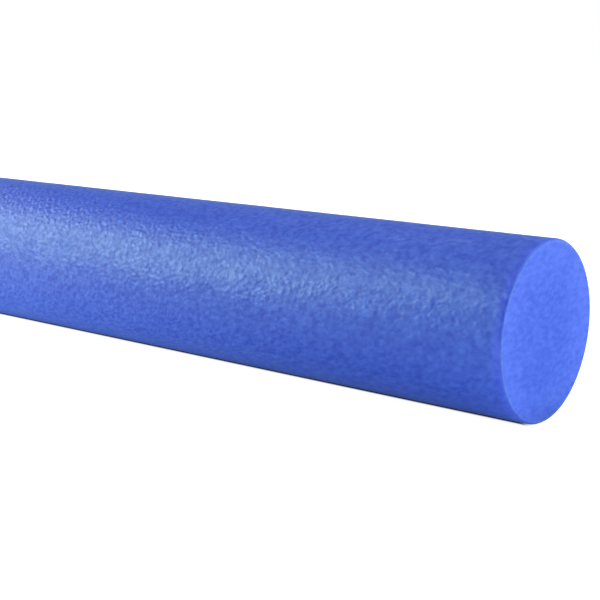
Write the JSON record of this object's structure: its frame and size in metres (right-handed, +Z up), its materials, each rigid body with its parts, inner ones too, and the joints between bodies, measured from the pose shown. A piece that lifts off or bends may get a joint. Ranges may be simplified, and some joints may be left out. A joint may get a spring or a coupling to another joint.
{
  "type": "pool noodle",
  "caption": "Solid round closed-cell foam pool noodle, with a denser outer skin and flat cut ends, that floats and bends to support a swimmer.",
  "frame": {"origin": "on the surface that the noodle lies on, under the middle of its length", "axes": "+X along the noodle towards the cut end that the picture shows, +Z up, +Y across it"},
  "size_m": [1.5, 0.065, 0.065],
  "materials": {
    "core_foam": "matte closed-cell polyethylene foam, bright blue, cut face with fine open cells",
    "skin_foam": "matte blue foam skin with a soft sheen and a fine orange-peel grain"
  },
  "bodies": {
    "root": {"foam_core": "core_foam", "outer_skin": "skin_foam"}
  },
  "joints": []
}
